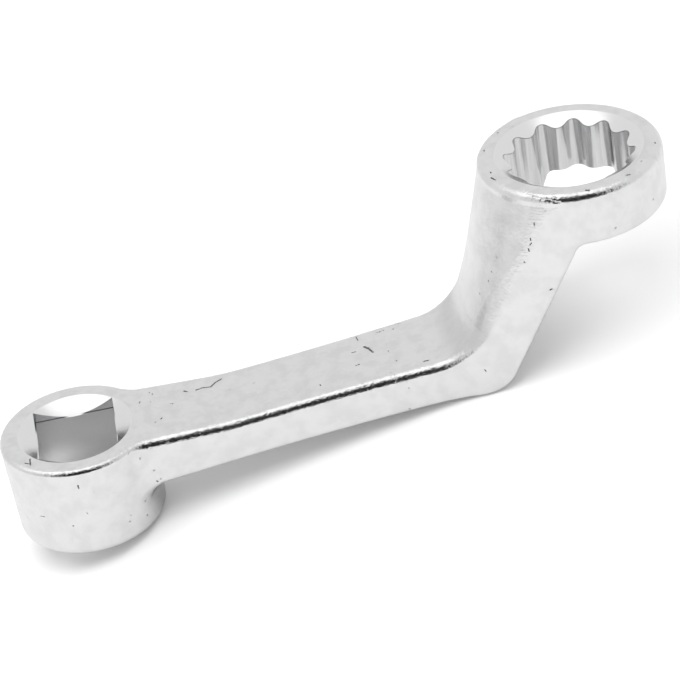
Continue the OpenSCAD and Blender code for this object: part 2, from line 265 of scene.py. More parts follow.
# Further than this from the surface a mark is left out
MARK_MISS = 0.1
# Moving a point onto the surface: the least square of a slope, and the longest single move
LEAST_SLOPE, LONGEST_MOVE = 0.2, 0.6
# Stands in for zero where a length divides
TINY = 1e-9


class Forging:
    """The forging before machining, from its sizes."""

    def __init__(self, s):
        self.s = s
        self.marks, self.ripples = [], []
        self.ring_low = s.ring_top - s.ring_h
        o = openings()
        self.ring_r = o.hex_af / math.sqrt(3) + s.ring_wall
        self.neck_end = float(cad_mm("shank")[0][0])
        self.neck_w = self.bow_w(self.fillet_x(self.bow_w(s.boss_r)))
        self.neck_x = self.fillet_x(self.neck_w)
        self.neck_start = s.boss_r / (s.boss_r + s.neck_r) * self.neck_x
        self.bend_start = float(cad_mm("crank_arm")[0][0])
        self.neck_plane, self.bend_plane = (self.neck_end, 0, 0), (self.bend_start, 0, 0)
        self.ring_plane = (0, 0, float(ring_low[2]))
        self.inner_end = (s.ring_x - self.ring_r, s.ring_top - s.lean_drop)
        self.inner = BentLine(
            (self.bend_start, self.top_z(self.bend_start)), s.climb, self.inner_end, 90 - s.lean, s.crook_r
        )
        self.outer = BentLine(
            (self.bend_start, self.top_z(self.bend_start) - s.shank_t),
            s.climb,
            (s.ring_x - s.back_set, self.ring_low),
            s.back_angle,
            s.heel_r,
        )

    def top_z(self, x):
        """Height of the shank's top face, which climbs beyond the knee."""
        s = self.s
        u = x - s.knee_x
        turning = np.clip(u + s.knee_half, 0, 2 * s.knee_half) ** 2 / (4 * s.knee_half)
        return s.boss_h + (turning + np.maximum(u - s.knee_half, 0)) * tan(s.climb)

    def under_z(self, x):
        """Height of the shank's underside, which is straight."""
        s = self.s
        return s.boss_h + (x - s.knee_x) * tan(s.climb) - s.shank_t

    def bow_w(self, x):
        """Half the width of the shank with its shallow hollow sides."""
        s = self.s
        return s.shank_w / 2 + (x - s.waist_x) ** 2 / (2 * s.side_r)

    def fillet_x(self, half_w):
        """Distance from the drive axis to the end of a neck fillet on a bar of this half width."""
        s = self.s
        return math.sqrt((s.boss_r + s.neck_r) ** 2 - (half_w + s.neck_r) ** 2)

    def bar_side(self, x, y, z):
        """Distance outside the sides of the shank and of the neck fillets by the boss."""
        s = self.s
        y = np.abs(y)
        bow = self.bow_w(x)
        draft = np.maximum(s.boss_h - z, 0) * tan(s.boss_draft)
        draft = draft * (1 - smooth_step(x, self.neck_x, self.neck_end))
        fillet = s.neck_r - np.hypot(x - self.neck_x, y - self.neck_w - s.neck_r)
        return np.maximum(np.where(x < self.neck_x, fillet, y - bow) + draft, self.neck_start - x)

    def side(self, x, y):
        """Distance outside the sides of the shank and the arm."""
        s = self.s
        y = np.abs(y)
        u = s.ring_x - x
        line = u * sin(s.flare) + y * cos(s.flare) - self.ring_r
        circle = np.hypot(u, y) - self.ring_r
        flare = np.where(u > y * tan(s.flare), line, circle)
        return soft_min(np.maximum(y - self.bow_w(x), -u), flare, s.flare_soft)

    def fall(self, y):
        """How far the ring's curve has fallen back at a distance from the middle plane."""
        least = 1.0
        return self.ring_r - np.sqrt(np.maximum(self.ring_r**2 - y * y, least))

    def distance(self, p):
        """Distance of points outside the forging, with its marks once they are placed."""
        plain = self.plain(p)
        return plain + self.worn(p) * MARK_DEPTH if self.marks else plain

    def plain(self, p):
        """Distance of points outside the forging without its marks."""
        s = self.s
        x, y, z = p[:, 0], p[:, 1], p[:, 2]
        boss_wall = np.hypot(x, y) - s.boss_r + (s.boss_h - z) * tan(s.boss_draft)
        boss = both_in(both_in(boss_wall, z - s.boss_h, s.boss_edge), -z, s.boss_foot)
        low_turn = self.inner.bend[1]
        foot = low_turn - s.hollow + SHARPEN_TO * s.crook_r
        rising = smooth_step(z, foot, foot + s.hollow)
        leaning = self.inner.left(x - rising * self.fall(y), z)
        top = np.where(x < self.bend_start, (z - self.top_z(x)) * cos(s.climb), leaning)
        near_boss = x < self.bend_start - s.shank_t
        side = np.where(near_boss, self.bar_side(x, y, z), self.side(x, y))
        fade = np.clip((self.inner_end[1] - z) / s.crook_r, SOFTNESS_LEFT, 1)
        corner = s.boss_edge + (s.shank_edge - s.boss_edge) * smooth_step(x, self.neck_start, self.neck_x)
        corner = corner + (s.crook_corner - corner) * smooth_step(z, low_turn, low_turn + s.crook_r)
        sharper = smooth_step(z, low_turn + SHARPEN_FROM * s.crook_r, low_turn + SHARPEN_TO * s.crook_r)
        corner = corner + (s.arm_corner - corner) * sharper
        bar = both_in(top, side, corner * fade)
        ring = np.hypot(x - s.ring_x, y) - self.ring_r
        head = both_in(np.minimum(bar, ring), z - s.ring_top, s.ring_edge)
        bent = -self.outer.left(x, z)
        under = np.where(x < self.bend_start, (self.under_z(x) - z) * cos(s.climb), bent)
        under = either_in(under, boss, s.root_r)
        under = either_in(under, self.ring_low - z, s.web)
        low_edge = s.back_edge + (s.ring_foot - s.back_edge) * smooth_step(
            z, self.ring_low - s.web, self.ring_low + s.ring_foot
        )
        return np.minimum(both_in(head, under, low_edge), boss)

    def rims(self, p, gap=0.05):
        """How much each point lies on a rounded outer edge, from 0 to 1."""
        total = -6 * self.plain(p)
        for axis in range(3):
            step = np.zeros(3)
            step[axis] = gap
            total += self.plain(p + step) + self.plain(p - step)
        return smooth_step(total / gap**2, *RIM_CURVATURE)

    def worn(self, p, ragged=0.35):
        """How deep in a pit or scratch each point is, from 0 to 1."""
        return self.near_strokes(p, self.marks, ragged)

    def crook_shade(self, z):
        """How much painted shade darkens the inner bend at a height, from 0 to 1."""
        above = z - self.inner.bend[1]
        return smooth_step(above, 0, CROOK_SHADE_FULL) * (1 - smooth_step(above, CROOK_SHADE_FADES, CROOK_SHADE_GONE))

    def near_strokes(self, p, strokes, ragged):
        """How near each point is to the middle of a stroke, from 0 at its radius to 1."""
        first, second = RAGGED_WAVES
        out = np.zeros(len(p))
        for start, end, r in strokes:
            low, high = np.minimum(start, end) - 2 * r, np.maximum(start, end) + 2 * r
            close = np.flatnonzero(((p > low) & (p < high)).all(1))
            if len(close):
                q = p[close] - start
                run = end - start
                along = np.clip(q @ run / max(run @ run, TINY), 0, 1)
                wave = 1 + ragged * np.sin(q @ first) * np.sin(q @ second + 1)
                away = np.linalg.norm(q - along[:, None] * run, axis=1) / (r * wave)
                out[close] = np.maximum(out[close], np.clip(1 - away**2, 0, 1))
        return out

    def seen_at(self, pixels):
        """The points of the surface that the camera sees at pixels of the picture."""
        across, down = np.array(CAMERA_RIGHT), -np.array(CAMERA_UP)
        off = (np.array(pixels, float) - PICTURE / 2) / (PICTURE * CAMERA_LENS / SENSOR)
        rays = off[:, :1] * across + off[:, 1:] * down - np.array(CAMERA_BACK)
        rays /= np.linalg.norm(rays, axis=1)[:, None]
        p = np.array(CAMERA_AT) + rays * RAY_START
        for _ in range(RAY_STEPS):
            p = p + rays * RAY_SHARE * self.distance(p)[:, None]
        return p

    def add_marks(self):
        """Places the pits and scratches on the surface."""
        pits = [pit for group in PITS.values() for pit in group]
        starts, ends = self.seen_at([pit[0:2] for pit in pits]), self.seen_at([pit[2:4] for pit in pits])
        found = [(start, end, pit[4]) for start, end, pit in zip(starts, ends, pits)]
        line, corner = self.seen_at(SCRATCH), self.seen_at(RIPPLES)
        found += [(start, end, SCRATCH_R) for start, end in zip(line, line[1:])]
        self.ripples = [(start, end, RIPPLES_R) for start, end in zip(corner, corner[1:])]
        self.marks = [m for m in found if np.abs(self.distance(np.array(m[:2]))).max() < MARK_MISS]

    def slope(self, p, gap=0.02):
        """The gradient of the distance at points."""
        out = np.empty_like(p)
        for axis in range(3):
            step = np.zeros(3)
            step[axis] = gap
            out[:, axis] = (self.distance(p + step) - self.distance(p - step)) / (2 * gap)
        return out

    def settle(self, p, passes):
        """Moves points along the gradient onto the surface."""
        for _ in range(passes):
            value = self.distance(p)
            slope = self.slope(p)
            move = value / np.maximum((slope**2).sum(1), LEAST_SLOPE)
            p = p - np.clip(move, -LONGEST_MOVE, LONGEST_MOVE)[:, None] * slope
        return p


# The camera, in millimetres, and the marks that it sees, by their pixels in the picture

PICTURE, SENSOR = 680.0, 36.0
CAMERA_AT = (29.543, -392.261, 281.793)
CAMERA_RIGHT = (0.9802, -0.1341, -0.1457)
CAMERA_UP = (0.1953, 0.5333, 0.8231)
CAMERA_BACK = (-0.0326, -0.8352, 0.5489)
CAMERA_LENS = 154.1

# How deep the marks are, and the one long scratch on the shank's top face with its radius
MARK_DEPTH = 0.06
SCRATCH = ((196, 390), (201, 388), (205.5, 387.3), (211, 386.6), (215, 382.5), (221, 379))
SCRATCH_R = 0.17
# The rippled corner between the inner face and the near side of the arm
RIPPLES = ((541, 204), (532, 236), (519, 268))
RIPPLES_R = 1.5
# Each pit is a short stroke: its start, its end and its radius in millimetres
PITS = {
    "shank_top": (
        (364.5, 346.5, 368, 348, 0.32),
        (368, 348, 373, 352, 0.22),
        (356, 337, 358, 340, 0.12),
        (377, 332, 381, 331.5, 0.14),
        (383, 330, 384, 330, 0.1),
        (395, 324, 398, 323.5, 0.12),
        (352, 352.5, 356, 351.5, 0.15),
        (356, 365, 359, 364.5, 0.16),
        (386, 343, 386.5, 345, 0.1),
        (388, 350, 389, 352, 0.1),
        (396, 360, 397, 360.5, 0.14),
        (320, 384.5, 321, 385.5, 0.14),
        (184, 391, 187.5, 391.3, 0.18),
        (424, 361, 428, 360.3, 0.2),
    ),
    "neck_specks": (
        (149, 392, 150, 392.5, 0.12),
        (152, 393.5, 153, 394, 0.1),
        (140, 401, 139.5, 403, 0.1),
        (150, 401, 151, 401.5, 0.1),
        (170, 403, 173, 403.5, 0.1),
        (155, 407, 158, 407.5, 0.08),
        (162, 417.5, 161, 419, 0.12),
        (155, 422, 156, 422, 0.1),
    ),
    "boss_nick": ((25, 463, 31, 464, 0.14), (30, 459, 30.5, 465, 0.16)),
    "boss_wall": (
        (78, 486, 78.5, 487.5, 0.18),
        (87, 513, 87.5, 513.5, 0.12),
        (73, 526, 74, 526, 0.12),
        (41, 516, 45, 517, 0.1),
        (157, 481, 158, 481.5, 0.16),
        (143, 502, 143.5, 503, 0.14),
    ),
    "ring_rim": (
        (510, 133, 513, 131.5, 0.2),
        (498, 149.5, 499, 149, 0.18),
        (490.5, 172, 491, 172.5, 0.14),
        (491, 177.5, 495, 179.5, 0.18),
        (484, 150, 484.5, 151, 0.14),
        (497.5, 133, 498, 132.5, 0.12),
        (635, 145, 637, 145, 0.2),
        (655, 142, 655.5, 143, 0.14),
        (586, 190, 589, 190, 0.22),
        (627, 175, 630, 174.5, 0.15),
    ),
    "arm": (
        (534, 223, 534.5, 225, 0.16),
        (530.5, 239, 530.5, 240, 0.16),
        (531.5, 243, 530, 245, 0.12),
        (528.5, 249, 529, 251, 0.14),
        (524, 262, 524.5, 262, 0.14),
        (550, 290, 552, 289, 0.12),
        (485, 370, 486, 371, 0.12),
    ),
}

# Meshes

# Sections of the rough loft along the shank and round the bend, and over how many of
# these it takes the ring's curve; points across a section; sides of a rough cylinder
SHANK_SECTIONS, BEND_SECTIONS, CURVING_SECTIONS = 24, 30, 18
SECTION_POINTS, BLANK_SIDES = 9, 128
# Where the loft starts inside the boss, and how far under the ring's top it ends
LOFT_START, LOFT_UNDER_TOP = 2.0, 1.5
# Halvings of a search for a width or a tilt
HALVINGS = 40
# Passes that even out the faces of the skin, and splittings of the faces round a mark
EVENING_PASSES, MARK_SPLITS = 3, 2


def new_mesh_object(name, bm):
    mesh = bpy.data.meshes.new(name)
    bm.to_mesh(mesh)
    bm.free()
    obj = bpy.data.objects.new(name, mesh)
    bpy.context.scene.collection.objects.link(obj)
    return obj


def vectors(items, name):
    """A vector of each item, as rows."""
    out = np.empty(len(items) * 3)
    items.foreach_get(name, out)
    return out.reshape(-1, 3)


def points_of(mesh):
    return vectors(mesh.vertices, "co")


def put_points(mesh, p):
    mesh.vertices.foreach_set("co", p.astype(np.float32).ravel())
    mesh.update()


def apply_modifiers(obj):
    """Replaces the object's mesh by the one that its modifiers make."""
    dg = bpy.context.evaluated_depsgraph_get()
    made = bpy.data.meshes.new_from_object(obj.evaluated_get(dg))
    old = obj.data
    obj.modifiers.clear()
    obj.data = made
    bpy.data.meshes.remove(old)


def drop(obj):
    mesh = obj.data
    bpy.data.objects.remove(obj)
    bpy.data.meshes.remove(mesh)


def edit(obj, change):
    """Changes the object's mesh as a bmesh."""
    bm = bmesh.new()
    bm.from_mesh(obj.data)
    change(bm)
    bm.to_mesh(obj.data)
    bm.free()


def loft(bm, sections):
    """Extrudes the first section along the others and closes both ends."""
    verts = [bm.verts.new(p) for p in sections[0]]
    edges = [bm.edges.new((verts[i - 1], verts[i])) for i in range(len(verts))]
    bmesh.ops.contextual_create(bm, geom=edges)
    for section in sections[1:]:
        made = bmesh.ops.extrude_edge_only(bm, edges=edges)["geom"]
        new_verts = {v for v in made if isinstance(v, bmesh.types.BMVert)}
        pairs = {}
        for v in verts:
            for e in v.link_edges:
                other = e.other_vert(v)
                if other in new_verts:
                    pairs[v] = other
        verts = [pairs[v] for v in verts]
        for v, p in zip(verts, section):
            v.co = p
        edges = [bm.edges.get((verts[i - 1], verts[i])) for i in range(len(verts))]
    bmesh.ops.contextual_create(bm, geom=edges)


def path_points(line, start, end, count):
    """Points along a bent line from x start up to height end."""
    first = np.linalg.norm(line.bend - start)
    angle_low = math.atan2(line.u[1], line.u[0])
    turn = math.atan2(line.v[1], line.v[0]) - angle_low
    last = (end - line.rise[1]) / line.v[1]
    total = first + line.r * turn + last
    out = []
    for i in range(count + 1):
        d = total * i / count
        if d < first:
            out.append(np.array(start) + d * line.u)
        elif d < first + line.r * turn:
            a = angle_low + (d - first) / line.r
            out.append(line.centre + line.r * np.array([math.sin(a), -math.cos(a)]))
        else:
            out.append(line.rise + (d - first - line.r * turn) * line.v)
    return out


def rough_section(forging, foot, head, share):
    """A plain section of the bar between two points of the XZ plane."""

    def half_w(x):
        low, high = 2.0, 2.0 * forging.ring_r
        for _ in range(HALVINGS):
            mid = (low + high) / 2
            inside = forging.side(np.array([x]), np.array([mid]))[0] < 0
            low, high = (mid, high) if inside else (low, mid)
        return low

    foot_w, head_w = half_w(foot[0]), half_w(head[0])
    out = [(foot[0], -foot_w, foot[1]), (foot[0], foot_w, foot[1])]
    along = (head - foot) / np.linalg.norm(head - foot)
    for i in range(SECTION_POINTS):
        y = head_w * (1 - 2 * i / (SECTION_POINTS - 1))
        q = head - share * float(forging.fall(np.array(y))) * along
        out.append((q[0], y, q[1]))
    return out


def refine_marks(blank, forging):
    """Splits the faces round each mark until it can be modelled."""

    def split(bm):
        p = points_of(blank.data)
        near = forging.worn(p) > 0
        for start, end, r in forging.marks:
            reach = np.linalg.norm(p - (start + end) / 2, axis=1)
            near |= reach < np.linalg.norm(end - start) / 2 + 2 * r
        edges = [e for e in bm.edges if near[e.verts[0].index] and near[e.verts[1].index]]
        bmesh.ops.subdivide_edges(bm, edges=edges, cuts=1, use_grid_fill=True)

    for _ in range(MARK_SPLITS):
        edit(blank, split)


def even_out(bm):
    """Moves each point towards the middle of its neighbours."""
    whole_way = {"use_axis_x": True, "use_axis_y": True, "use_axis_z": True}
    bmesh.ops.smooth_vert(bm, verts=bm.verts, factor=0.5, **whole_way)


def rough_cylinder(bm, low_r, high_r, x, low, high):
    """A plain round body for the boss or the ring, on an upright axis at x."""
    bmesh.ops.create_cone(
        bm,
        cap_ends=True,
        segments=BLANK_SIDES,
        radius1=low_r,
        radius2=high_r,
        depth=high - low,
        matrix=Matrix.Translation((x, 0, (low + high) / 2)),
    )


def rough_sections(forging):
    """Sections along the shank, round the bend and up to the ring's top."""
    s, start = forging.s, forging.bend_start
    sections = []
    for x in np.linspace(LOFT_START, start, SHANK_SECTIONS):
        foot, head = np.array([x, float(forging.under_z(x))]), np.array([x, float(forging.top_z(x))])
        sections.append(rough_section(forging, foot, head, 0))
    outer_start = (start, forging.top_z(start) - s.shank_t)
    outer = path_points(forging.outer, outer_start, forging.ring_low, BEND_SECTIONS)
    inner = path_points(forging.inner, (start, forging.top_z(start)), forging.ring_low, BEND_SECTIONS)
    for i in range(1, BEND_SECTIONS + 1):
        sections.append(rough_section(forging, outer[i], inner[i], min(1, i / CURVING_SECTIONS)))
    up = s.ring_h - LOFT_UNDER_TOP
    sections.append(rough_section(forging, outer[-1] + [0.0, up], inner[-1] + [up * tan(s.lean), up], 1))
    return sections


def build_blank(forging):
    """The forging before machining, as a fine even mesh that lies on the exact surface."""
    s = forging.s
    bm = bmesh.new()
    loft(bm, rough_sections(forging))
    rough_cylinder(bm, s.boss_r - s.boss_h * tan(s.boss_draft), s.boss_r, 0, 0, s.boss_h)
    rough_cylinder(bm, forging.ring_r, forging.ring_r, s.ring_x, s.ring_top - s.ring_h, s.ring_top)
    bmesh.ops.triangulate(bm, faces=bm.faces)
    bmesh.ops.recalc_face_normals(bm, faces=bm.faces)
    blank = new_mesh_object("blank", bm)
    remesh = blank.modifiers.new("even faces", "REMESH")
    remesh.mode = "VOXEL"
    remesh.voxel_size = s.mesh_step
    apply_modifiers(blank)
    put_points(blank.data, forging.settle(points_of(blank.data), passes=3))
    for _ in range(EVENING_PASSES):
        edit(blank, even_out)
        put_points(blank.data, forging.settle(points_of(blank.data), passes=2))
    forging.add_marks()
    refine_marks(blank, forging)
    inside = np.clip(forging.settle(points_of(blank.data), passes=3), *(np.array(cad_bounds) / MM))
    put_points(blank.data, inside)


def cut_region(name, planes):
    """A copy of the part of the blank on the inner side of each plane, closed flat."""
    blank = bpy.data.objects.get("blank")
    if blank is None:
        raise RuntimeError("The blank is built before its regions are cut")
    bm = bmesh.new()
    bm.from_mesh(blank.data)
    for point, normal in planes:
        geom = bm.verts[:] + bm.edges[:] + bm.faces[:]
        bmesh.ops.bisect_plane(bm, geom=geom, plane_co=point, plane_no=normal, clear_outer=True)
        rim = [e for e in bm.edges if e.is_boundary]
        bmesh.ops.holes_fill(bm, edges=rim, sides=0)
    return new_mesh_object(name, bm)


def arc(centre_r, turn, r, start, sweep, steps):
    """Points on an arc whose centre lies at a distance and a direction from the axis."""
    cx, cy = centre_r * cos(turn), centre_r * sin(turn)
    angles = [start + sweep * i / steps for i in range(steps + 1)]
    return [(cx + r * cos(a), cy + r * sin(a)) for a in angles]


# Degrees from a groove to the next point, and the straight lines on each groove and point
HALF_TWELFTH = 15
GROOVE_STEPS, POINT_STEPS = 12, 8


def twelve_point_outline():
    """The outline of the twelve-point opening round its axis."""
    o = openings()
    groove = o.hex_af / math.sqrt(3) + o.groove_out
    point = groove * sin(o.flank) / sin(o.flank + HALF_TWELFTH)
    out = []
    for turn in range(HALF_TWELFTH, 360 + HALF_TWELFTH, 2 * HALF_TWELFTH):
        half = 90 - o.flank
        centre_r = groove - o.groove_r / sin(o.flank)
        out += arc(centre_r, turn, o.groove_r, turn - half, 2 * half, GROOVE_STEPS)
        half -= HALF_TWELFTH
        turn += HALF_TWELFTH
        centre_r = point + o.point_r / sin(o.flank + HALF_TWELFTH)
        out += arc(centre_r, turn, o.point_r, turn + 180 + half, -2 * half, POINT_STEPS)
    return out


def prism(bm, outline, low, high, x):
    """A straight prism on an outline round the upright axis at x."""
    verts = [bm.verts.new((x + p[0], p[1], low)) for p in outline]
    face = bm.faces.new(verts)
    made = bmesh.ops.extrude_face_region(bm, geom=[face])["geom"]
    top = [v for v in made if isinstance(v, bmesh.types.BMVert)]
    bmesh.ops.translate(bm, verts=top, vec=(0, 0, high - low))


# Flats round a turned cut, and the distance within which its doubled points merge
TURNED_STEPS, MERGE_WITHIN = 160, 1e-4


def turned(bm, profile, x):
    """A closed turned body from (radius, height) points, whose first and last lie on the axis."""
    verts = [bm.verts.new((x + r, 0, z)) for r, z in profile]
    edges = [bm.edges.new(pair) for pair in zip(verts, verts[1:])]
    bmesh.ops.spin(
        bm,
        geom=verts + edges,
        cent=(x, 0, 0),
        axis=(0, 0, 1),
        angle=2 * math.pi,
        steps=TURNED_STEPS,
        use_merge=True,
    )
    bmesh.ops.remove_doubles(bm, verts=bm.verts, dist=MERGE_WITHIN)


def cut_with(obj, build):
    """Takes the shape that build makes out of the object."""
    bm = bmesh.new()
    build(bm)
    bmesh.ops.recalc_face_normals(bm, faces=bm.faces)
    tool = new_mesh_object("cutter", bm)
    cut = obj.modifiers.new("cut", "BOOLEAN")
    cut.operation, cut.solver, cut.object = "DIFFERENCE", "EXACT", tool
    apply_modifiers(obj)
    drop(tool)


# How far a cut runs out of the metal
OVERRUN = 1.0
# The worn rim of a conical cut: its reach inwards and outwards, and its lift over the face
RIM_IN, RIM_OUT, RIM_LIFT = 0.12, 0.048, 0.001


def cone(rim_r, angle, top):
    """The profile of a conical cut whose rim at the top face is slightly worn."""
    return [
        (0, top - rim_r * tan(angle)),
        (rim_r - RIM_IN, top - RIM_IN * tan(angle)),
        (rim_r + RIM_OUT, top + RIM_LIFT),
        (rim_r + RIM_OUT, top + OVERRUN),
        (0, top + OVERRUN),
    ]


def square_outline(half):
    return [(-half, -half), (half, -half), (half, half), (-half, half)]


def cut_square(boss):
    """Cuts the square, its lead-in, the countersink and the lower chamfer."""
    s, o = sizes(), openings()
    half, over = o.drive_af / 2, s.boss_h + OVERRUN
    square, lead_in = square_outline(half), square_outline(half + o.lead_step)
    sink = cone(o.drive_af / math.sqrt(2) + o.sink_rim, o.sink_angle, s.boss_h)
    cut_with(boss, lambda bm: prism(bm, square, -OVERRUN, over, 0))
    cut_with(boss, lambda bm: prism(bm, lead_in, s.boss_h - o.lead_depth, over, 0))
    cut_with(boss, lambda bm: turned(bm, sink, 0))

    def chamfer(bm):
        rise = o.drive_chamfer + OVERRUN
        bmesh.ops.create_cube(bm, size=1)
        for v in bm.verts:
            reach, z = (half - OVERRUN, rise) if v.co.z > 0 else (half + rise, -OVERRUN)
            v.co = math.copysign(reach, v.co.x), math.copysign(reach, v.co.y), z

    cut_with(boss, chamfer)


def entry_radius():
    """Radius of the rim of the entry chamfer."""
    o = openings()
    return o.hex_af / math.sqrt(3) + o.entry_rim


def cut_twelve_point(obj):
    """Cuts the twelve-point opening, through the ring and on into the arm's back."""
    s, outline = sizes(), twelve_point_outline()
    cut_with(obj, lambda bm: prism(bm, outline, s.boss_h, s.ring_top + OVERRUN, s.ring_x))


def cut_entry(ring):
    """Cuts the entry chamfer of the twelve-point opening."""
    s = sizes()
    entry = cone(entry_radius(), openings().entry_angle, s.ring_top)
    cut_with(ring, lambda bm: turned(bm, entry, s.ring_x))


# A point this near to the forging, on a face that looks this much its way, is on the skin
ON_SKIN, SAME_WAY = 0.015, 0.8
# The angle between two faces past which their edge is sharp
SHARP = 32
# Machined faces whose normal rises more than this are chamfers, the others broached walls
SLOPING = 0.3
# How much a rim has to look up to be ragged, and how much a face looks sideways to be spared the painted
# shade of the inner bend
RAGGED_UP, SHADE_SPARED_ASIDE = (0.0, 0.3), (0.5, 0.9)


def face_corners(mesh):
    """The point and the face of each corner, and the first corner of each face."""
    count = len(mesh.polygons)
    starts, totals = np.empty(count, int), np.empty(count, int)
    mesh.polygons.foreach_get("loop_start", starts)
    mesh.polygons.foreach_get("loop_total", totals)
    corners = np.empty(len(mesh.loops), int)
    mesh.loops.foreach_get("vertex_index", corners)
    return corners, np.repeat(np.arange(count), totals), starts


def finish_piece(obj, forging, node):
    """Smooth and sharp edges, exact normals on the forged skin, materials, and metres."""
    mesh = obj.data
    mesh.validate()
    p = points_of(mesh)
    near = np.abs(forging.distance(p)) < ON_SKIN
    slope = forging.slope(p)
    slope /= np.maximum(np.linalg.norm(slope, axis=1), TINY)[:, None]
    normals = vectors(mesh.polygons, "normal")
    corners, face_of, starts = face_corners(mesh)
    agrees = near[corners] & ((slope[corners] * normals[face_of]).sum(1) > SAME_WAY)
    forged = np.bitwise_and.reduceat(agrees, starts)
    mesh.polygons.foreach_set("use_smooth", np.ones(len(mesh.polygons), bool))
    mesh.set_sharp_from_angle(angle=math.radians(SHARP))
    mesh.update()
    split = vectors(mesh.corner_normals, "vector")
    on_skin = forged[face_of]
    split[on_skin] = slope[corners][on_skin]
    mesh.materials.clear()
    for material in finishes():
        mesh.materials.append(material)
    sloping = np.abs(normals[:, 2]) > SLOPING
    mesh.polygons.foreach_set("material_index", np.where(forged, 0, np.where(sloping, 1, 2)))
    values = {
        "worn": forging.worn(p),
        "rippled": forging.near_strokes(p, forging.ripples, 0.0),
        "rims": forging.rims(p) * smooth_step(slope[:, 2], *RAGGED_UP),
        # Painted shade: the inner bend darkens, except on faces that look sideways
        "crook_shade": forging.crook_shade(p[:, 2]) * (1 - smooth_step(np.abs(slope[:, 1]), *SHADE_SPARED_ASIDE)),
    }
    for name, value in values.items():
        mesh.attributes.new(name, "FLOAT", "POINT").data.foreach_set("value", value)
    put_points(mesh, p * MM)
    mesh.normals_split_custom_set([tuple(n) for n in split])
    obj.name = mesh.name = node + "_dressed"
    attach(obj, "root")
    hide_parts(node)


# Materials


class Socket:
    """A socket of a shader node, with arithmetic."""

    def __init__(self, tree, out):
        self.tree, self.out = tree, out

    def _math(self, operation, *values):
        return self.tree.node("ShaderNodeMath", {"operation": operation}, list(values))

    def __add__(self, other):
        return self._math("ADD", self, other)

    def __sub__(self, other):
        return self._math("SUBTRACT", self, other)

    def __mul__(self, other):
        return self._math("MULTIPLY", self, other)

    def __truediv__(self, other):
        return self._math("DIVIDE", self, other)

    def __rsub__(self, other):
        return self._math("SUBTRACT", other, self)

    __radd__, __rmul__ = __add__, __mul__

    def maximum(self, other):
        return self._math("MAXIMUM", self, other)

    def step(self, low, high):
        """0 below low and 1 above high, smooth between."""
        settings = {"interpolation_type": "SMOOTHSTEP"}
        return self.tree.node("ShaderNodeMapRange", settings, [self, low, high, 0.0, 1.0])


class Shader:
    """A material's node tree."""

    def __init__(self, tree):
        self.tree = tree
        tree.nodes.clear()

    def node(self, kind, settings=None, values=(), out=0):
        """Adds a node: its settings first, then the values or links of its sockets."""
        made = self.tree.nodes.new(kind)
        for name, value in (settings or {}).items():
            setattr(made, name, value)
        pairs = values.items() if isinstance(values, dict) else enumerate(values)
        for key, value in pairs:
            if isinstance(value, Socket):
                self.tree.links.new(value.out, made.inputs[key])
            else:
                made.inputs[key].default_value = value
        return Socket(self, made.outputs[out]) if made.outputs else None

    def output(self, socket, name):
        """Another output of the node that a socket belongs to."""
        return Socket(self, socket.out.node.outputs[name])

    def split(self, vector):
        """The X, Y and Z of a vector."""
        parts = self.node("ShaderNodeSeparateXYZ", values=[vector])
        return tuple(self.output(parts, axis) for axis in range(3))

    def place(self, scale=1.0, stretch=(1, 1, 1), shift=(0, 0, 0)):
        """Object coordinates in millimetres, scaled."""
        where = self.node("ShaderNodeTexCoord", out="Object")
        k = scale / MM
        return self.node(
            "ShaderNodeMapping",
            values={"Vector": where, "Scale": tuple(k * c for c in stretch), "Location": shift},
        )

    def noise(self, scale, detail, rough=0.5, **where):
        """Noise whose features are about 1 / scale millimetres wide."""
        return self.node(
            "ShaderNodeTexNoise",
            values={"Vector": self.place(**where), "Scale": scale, "Detail": detail, "Roughness": rough},
        )

    def cells(self, scale, **where):
        """How far a point is from the middle of its cell, and a random value for each cell."""
        near = self.node("ShaderNodeTexVoronoi", values={"Vector": self.place(**where), "Scale": scale})
        return near, self.output(near, "Color") * 1.0

    def attribute(self, name):
        """A value that the mesh holds at its points."""
        return self.node("ShaderNodeAttribute", {"attribute_name": name}, out="Fac")

    def mix(self, share, a, b):
        """Colour a where share is 0, b where it is 1."""
        made = self.tree.nodes.new("ShaderNodeMix")
        made.data_type = "RGBA"
        for key, value in (("Factor", share), ("A", a), ("B", b)):
            socket = next(i for i in made.inputs if i.name == key and (key == "Factor" or i.type == "RGBA"))
            if isinstance(value, Socket):
                self.tree.links.new(value.out, socket)
            else:
                socket.default_value = value
        return Socket(self, next(o for o in made.outputs if o.type == "RGBA"))

    def metal(self, colour, roughness, height, relief):
        """A metal surface whose relief is this many millimetres high where height is 1."""
        bump = self.node(
            "ShaderNodeBump",
            values={"Strength": 1.0, "Distance": relief * MM, "Height": height},
        )
        surface = self.node(
            "ShaderNodeBsdfPrincipled",
            values={"Base Color": colour, "Metallic": 1.0, "Roughness": roughness, "Normal": bump},
        )
        self.node("ShaderNodeOutputMaterial", values={"Surface": surface})


def rgba(colour, level=1.0):
    return tuple(c * level for c in colour) + (1.0,)


def new_material(name):
    material = bpy.data.materials.new(name)
    material.use_nodes = True
    return material, Shader(material.node_tree)


# The forged skin. Brightness of the plating where it is clean and clouded, the tone of the painted
# shade in the inner bend and the share of it laid on there, and how dark chance pits and placed marks are
CLEAN, CLOUDED, CROOK_SHADE_TONE, CROOK_SHADE_SHARE = 1.02, 0.94, 0.75, 0.6
PIT_DARK, MARK_DARK = 0.5, 0.9
# Where noise turns to cloud, which cells hold a pit and in which patches, and their outlines
CLOUD, PITTED_CELL, PITTED_PATCH = (0.38, 0.66), (0.62, 0.64), (0.46, 0.56)
PIT_EDGE, PIT_UNEVEN, MARK_EDGE, MARK_UNEVEN = (0.20, 0.28), 0.3, (0.3, 0.65), 1.6
# Where the value of a placed ripple turns to relief
RIPPLED_AT = (0.0, 0.7)
